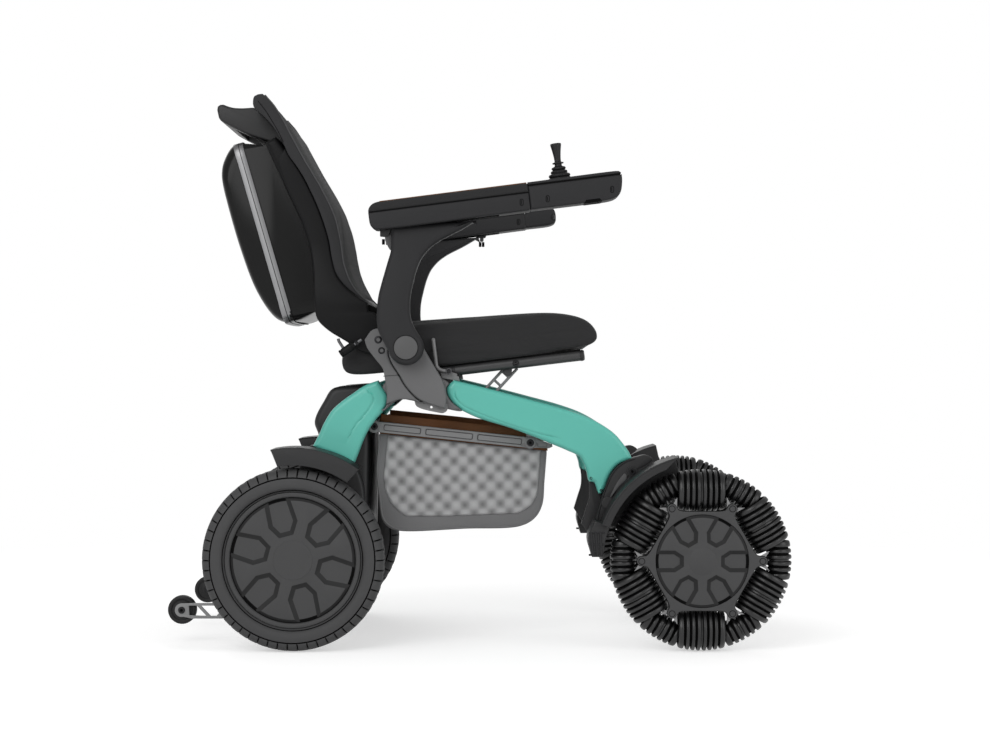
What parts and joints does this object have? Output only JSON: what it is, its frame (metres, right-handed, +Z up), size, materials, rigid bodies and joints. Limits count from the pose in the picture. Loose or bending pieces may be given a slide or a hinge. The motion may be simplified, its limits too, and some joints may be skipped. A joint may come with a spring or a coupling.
{
  "type": "power wheelchair",
  "caption": "All-terrain power wheelchair: solid rear drive wheels, omni front wheels of ribbed rollers, curved beams, padded seat, reclining back with a case, lift-up arms and a joystick.",
  "frame": {"origin": "On the floor, at the middle of the bounding box's base.", "axes": "+X is forward, the way the sitter faces. +Y is the sitter's left. +Z is up."},
  "size_m": [1.1, 0.636, 0.9851],
  "materials": {
    "tyre_rubber": "matt dark grey with a block tread",
    "roller_rubber": "black ribbed rubber with a soft sheen",
    "wheel_plastic": "dark grey moulded, fine texture",
    "teal_paint": "smooth satin teal enamel",
    "cast_grey": "mid grey powder coat on a casting",
    "satin_grey": "satin grey anodised",
    "black_plastic": "near-black moulded plastic, fine grain",
    "seat_fabric": "black close-woven cover",
    "black_tube": "black powder coat",
    "case_shell": "glossy black moulded shell",
    "bag_mesh": "grey quilted spacer mesh",
    "dark_steel": "dark plated steel"
  },
  "bodies": {
    "root": {"seat_bridge_frame": "cast_grey", "lower_frame": "satin_grey", "front_beam_r": "teal_paint", "front_beam_l": "teal_paint", "rear_arch_r": "teal_paint", "rear_arch_l": "teal_paint", "front_fender_r": "black_plastic", "front_fender_l": "black_plastic", "drive_unit": "black_plastic", "rear_fender_r": "black_plastic", "rear_fender_l": "black_plastic", "storage_bag": "bag_mesh"},
    "rear_wheel_r": {"rear_tyre_r": "tyre_rubber", "rear_rim_r": "wheel_plastic"},
    "rear_wheel_l": {"rear_tyre_l": "tyre_rubber", "rear_rim_l": "wheel_plastic"},
    "front_wheel_r": {"front_hub_r": "wheel_plastic"},
    "small_roller_r_1": {"small_roller_r_1": "roller_rubber"},
    "large_roller_r_1": {"large_roller_r_1": "roller_rubber"},
    "small_roller_r_2": {"small_roller_r_2": "roller_rubber"},
    "large_roller_r_2": {"large_roller_r_2": "roller_rubber"},
    "small_roller_r_3": {"small_roller_r_3": "roller_rubber"},
    "large_roller_r_3": {"large_roller_r_3": "roller_rubber"},
    "small_roller_r_4": {"small_roller_r_4": "roller_rubber"},
    "large_roller_r_4": {"large_roller_r_4": "roller_rubber"},
    "small_roller_r_5": {"small_roller_r_5": "roller_rubber"},
    "large_roller_r_5": {"large_roller_r_5": "roller_rubber"},
    "small_roller_r_6": {"small_roller_r_6": "roller_rubber"},
    "large_roller_r_6": {"large_roller_r_6": "roller_rubber"},
    "front_wheel_l": {"front_hub_l": "wheel_plastic"},
    "small_roller_l_1": {"small_roller_l_1": "roller_rubber"},
    "large_roller_l_1": {"large_roller_l_1": "roller_rubber"},
    "small_roller_l_2": {"small_roller_l_2": "roller_rubber"},
    "large_roller_l_2": {"large_roller_l_2": "roller_rubber"},
    "small_roller_l_3": {"small_roller_l_3": "roller_rubber"},
    "large_roller_l_3": {"large_roller_l_3": "roller_rubber"},
    "small_roller_l_4": {"small_roller_l_4": "roller_rubber"},
    "large_roller_l_4": {"large_roller_l_4": "roller_rubber"},
    "small_roller_l_5": {"small_roller_l_5": "roller_rubber"},
    "large_roller_l_5": {"large_roller_l_5": "roller_rubber"},
    "small_roller_l_6": {"small_roller_l_6": "roller_rubber"},
    "large_roller_l_6": {"large_roller_l_6": "roller_rubber"},
    "anti_tip_r": {"anti_tip_wheel_r": "wheel_plastic"},
    "anti_tip_l": {"anti_tip_wheel_l": "wheel_plastic"},
    "armrest_r": {"armrest_arm_r": "black_plastic", "armrest_pad_r": "seat_fabric"},
    "armrest_l": {"armrest_arm_l": "black_plastic", "armrest_pad_l": "seat_fabric"},
    "controller": {"control_housing": "black_plastic"},
    "joystick_gimbal": {"joystick_boot": "black_plastic"},
    "joystick": {"joystick_stick": "black_plastic"},
    "power_button": {"power_button": "dark_steel"},
    "backrest": {"backrest_shell": "black_plastic", "backrest_cushion": "seat_fabric", "hard_case": "case_shell"},
    "recline_lock": {"recline_lock": "dark_steel"},
    "seat": {"seat_frame": "black_tube", "seat_cushion": "seat_fabric"},
    "seat_lever": {"seat_lever": "dark_steel"},
    "seat_prop": {"seat_prop": "satin_grey"}
  },
  "joints": [
    {"name": "arm_lift_r", "type": "hinge", "parent": "root", "child": "armrest_r", "pos_m": [-0.121, -0.25, 0.527], "axis": [0, -1, 0], "range_deg": [0, 90]},
    {"name": "arm_lift_l", "type": "hinge", "parent": "root", "child": "armrest_l", "pos_m": [-0.121, 0.25, 0.527], "axis": [0, -1, 0], "range_deg": [0, 90]},
    {"name": "controller_slide", "type": "slide", "parent": "armrest_r", "child": "controller", "axis": [0.9921, 0, 0.1253], "range_m": [0, 0.05]},
    {"name": "joystick_pitch", "type": "hinge", "parent": "controller", "child": "joystick_gimbal", "pos_m": [0.1474, -0.274, 0.81973], "axis": [0, 1, 0], "range_deg": [-18, 18], "stiffness_Nm_per_rad": 0.3, "deforming": ["joystick_boot"]},
    {"name": "joystick_roll", "type": "hinge", "parent": "joystick_gimbal", "child": "joystick", "pos_m": [0.1474, -0.274, 0.81973], "axis": [0.9921, 0, 0.1253], "range_deg": [-18, 18], "stiffness_Nm_per_rad": 0.3, "deforming": ["joystick_boot"]},
    {"name": "power_button_press", "type": "slide", "parent": "controller", "child": "power_button", "axis": [0.1253, 0, -0.9921], "range_m": [0, 0.0015], "stiffness_N_per_m": 400, "springref_m": -0.001},
    {"name": "backrest_recline", "type": "hinge", "parent": "root", "child": "backrest", "pos_m": [-0.17, 0, 0.53], "axis": [0, -1, 0], "range_deg": [-15, 35]},
    {"name": "recline_lock_turn", "type": "hinge", "parent": "root", "child": "recline_lock", "pos_m": [-0.2, -0.2385, 0.542], "axis": [0.8192, 0, 0.5736], "range_deg": [-10, 20]},
    {"name": "seat_tilt", "type": "hinge", "parent": "root", "child": "seat", "pos_m": [-0.125, 0, 0.458], "axis": [0, -1, 0], "range_deg": [0, 6]},
    {"name": "seat_lever_turn", "type": "hinge", "parent": "seat", "child": "seat_lever", "pos_m": [-0.048, -0.2205, 0.4855], "axis": [0, 1, 0], "range_deg": [0, 30]},
    {"name": "seat_prop_swing", "type": "hinge", "parent": "seat", "child": "seat_prop", "pos_m": [0.05672, -0.177, 0.48454], "axis": [0, -1, 0], "range_deg": [-6, 0]},
    {"name": "rear_wheel_r_spin", "type": "hinge", "parent": "root", "child": "rear_wheel_r", "pos_m": [-0.316, -0.28, 0.159], "axis": [0, 1, 0], "continuous": true},
    {"name": "rear_wheel_l_spin", "type": "hinge", "parent": "root", "child": "rear_wheel_l", "pos_m": [-0.316, 0.28, 0.159], "axis": [0, 1, 0], "continuous": true},
    {"name": "front_wheel_r_spin", "type": "hinge", "parent": "root", "child": "front_wheel_r", "pos_m": [0.392, -0.28, 0.158], "axis": [0, 1, 0], "continuous": true},
    {"name": "front_wheel_l_spin", "type": "hinge", "parent": "root", "child": "front_wheel_l", "pos_m": [0.392, 0.28, 0.158], "axis": [0, 1, 0], "continuous": true},
    {"name": "anti_tip_r_spin", "type": "hinge", "parent": "root", "child": "anti_tip_r", "pos_m": [-0.5241, -0.1765, 0.06], "axis": [0, 1, 0], "continuous": true},
    {"name": "anti_tip_l_spin", "type": "hinge", "parent": "root", "child": "anti_tip_l", "pos_m": [-0.5241, 0.1765, 0.06], "axis": [0, 1, 0], "continuous": true},
    {"name": "small_roller_r_1_roll", "type": "hinge", "parent": "front_wheel_r", "child": "small_roller_r_1", "pos_m": [0.5274, -0.28, 0.158], "axis": [0, 0, 1], "continuous": true},
    {"name": "large_roller_r_1_roll", "type": "hinge", "parent": "front_wheel_r", "child": "large_roller_r_1", "pos_m": [0.49636, -0.28, 0.21825], "axis": [-0.5, 0, 0.866], "continuous": true},
    {"name": "small_roller_r_2_roll", "type": "hinge", "parent": "front_wheel_r", "child": "small_roller_r_2", "pos_m": [0.4597, -0.28, 0.27526], "axis": [-0.866, 0, 0.5], "continuous": true},
    {"name": "large_roller_r_2_roll", "type": "hinge", "parent": "front_wheel_r", "child": "large_roller_r_2", "pos_m": [0.392, -0.28, 0.2785], "axis": [-1, 0, 0], "continuous": true},
    {"name": "small_roller_r_3_roll", "type": "hinge", "parent": "front_wheel_r", "child": "small_roller_r_3", "pos_m": [0.3243, -0.28, 0.27526], "axis": [-0.866, 0, -0.5], "continuous": true},
    {"name": "large_roller_r_3_roll", "type": "hinge", "parent": "front_wheel_r", "child": "large_roller_r_3", "pos_m": [0.28764, -0.28, 0.21825], "axis": [-0.5, 0, -0.866], "continuous": true},
    {"name": "small_roller_r_4_roll", "type": "hinge", "parent": "front_wheel_r", "child": "small_roller_r_4", "pos_m": [0.2566, -0.28, 0.158], "axis": [0, 0, -1], "continuous": true},
    {"name": "large_roller_r_4_roll", "type": "hinge", "parent": "front_wheel_r", "child": "large_roller_r_4", "pos_m": [0.28764, -0.28, 0.09775], "axis": [0.5, 0, -0.866], "continuous": true},
    {"name": "small_roller_r_5_roll", "type": "hinge", "parent": "front_wheel_r", "child": "small_roller_r_5", "pos_m": [0.3243, -0.28, 0.04074], "axis": [0.866, 0, -0.5], "continuous": true},
    {"name": "large_roller_r_5_roll", "type": "hinge", "parent": "front_wheel_r", "child": "large_roller_r_5", "pos_m": [0.392, -0.28, 0.0375], "axis": [1, 0, 0], "continuous": true},
    {"name": "small_roller_r_6_roll", "type": "hinge", "parent": "front_wheel_r", "child": "small_roller_r_6", "pos_m": [0.4597, -0.28, 0.04074], "axis": [0.866, 0, 0.5], "continuous": true},
    {"name": "large_roller_r_6_roll", "type": "hinge", "parent": "front_wheel_r", "child": "large_roller_r_6", "pos_m": [0.49636, -0.28, 0.09775], "axis": [0.5, 0, 0.866], "continuous": true},
    {"name": "small_roller_l_1_roll", "type": "hinge", "parent": "front_wheel_l", "child": "small_roller_l_1", "pos_m": [0.5274, 0.28, 0.158], "axis": [0, 0, 1], "continuous": true},
    {"name": "large_roller_l_1_roll", "type": "hinge", "parent": "front_wheel_l", "child": "large_roller_l_1", "pos_m": [0.49636, 0.28, 0.21825], "axis": [-0.5, 0, 0.866], "continuous": true},
    {"name": "small_roller_l_2_roll", "type": "hinge", "parent": "front_wheel_l", "child": "small_roller_l_2", "pos_m": [0.4597, 0.28, 0.27526], "axis": [-0.866, 0, 0.5], "continuous": true},
    {"name": "large_roller_l_2_roll", "type": "hinge", "parent": "front_wheel_l", "child": "large_roller_l_2", "pos_m": [0.392, 0.28, 0.2785], "axis": [-1, 0, 0], "continuous": true},
    {"name": "small_roller_l_3_roll", "type": "hinge", "parent": "front_wheel_l", "child": "small_roller_l_3", "pos_m": [0.3243, 0.28, 0.27526], "axis": [-0.866, 0, -0.5], "continuous": true},
    {"name": "large_roller_l_3_roll", "type": "hinge", "parent": "front_wheel_l", "child": "large_roller_l_3", "pos_m": [0.28764, 0.28, 0.21825], "axis": [-0.5, 0, -0.866], "continuous": true},
    {"name": "small_roller_l_4_roll", "type": "hinge", "parent": "front_wheel_l", "child": "small_roller_l_4", "pos_m": [0.2566, 0.28, 0.158], "axis": [0, 0, -1], "continuous": true},
    {"name": "large_roller_l_4_roll", "type": "hinge", "parent": "front_wheel_l", "child": "large_roller_l_4", "pos_m": [0.28764, 0.28, 0.09775], "axis": [0.5, 0, -0.866], "continuous": true},
    {"name": "small_roller_l_5_roll", "type": "hinge", "parent": "front_wheel_l", "child": "small_roller_l_5", "pos_m": [0.3243, 0.28, 0.04074], "axis": [0.866, 0, -0.5], "continuous": true},
    {"name": "large_roller_l_5_roll", "type": "hinge", "parent": "front_wheel_l", "child": "large_roller_l_5", "pos_m": [0.392, 0.28, 0.0375], "axis": [1, 0, 0], "continuous": true},
    {"name": "small_roller_l_6_roll", "type": "hinge", "parent": "front_wheel_l", "child": "small_roller_l_6", "pos_m": [0.4597, 0.28, 0.04074], "axis": [0.866, 0, 0.5], "continuous": true},
    {"name": "large_roller_l_6_roll", "type": "hinge", "parent": "front_wheel_l", "child": "large_roller_l_6", "pos_m": [0.49636, 0.28, 0.09775], "axis": [0.5, 0, 0.866], "continuous": true}
  ],
  "couplings": [
    {"joint": "seat_prop_swing", "follows": "seat_tilt", "ratio": -1}
  ]
}
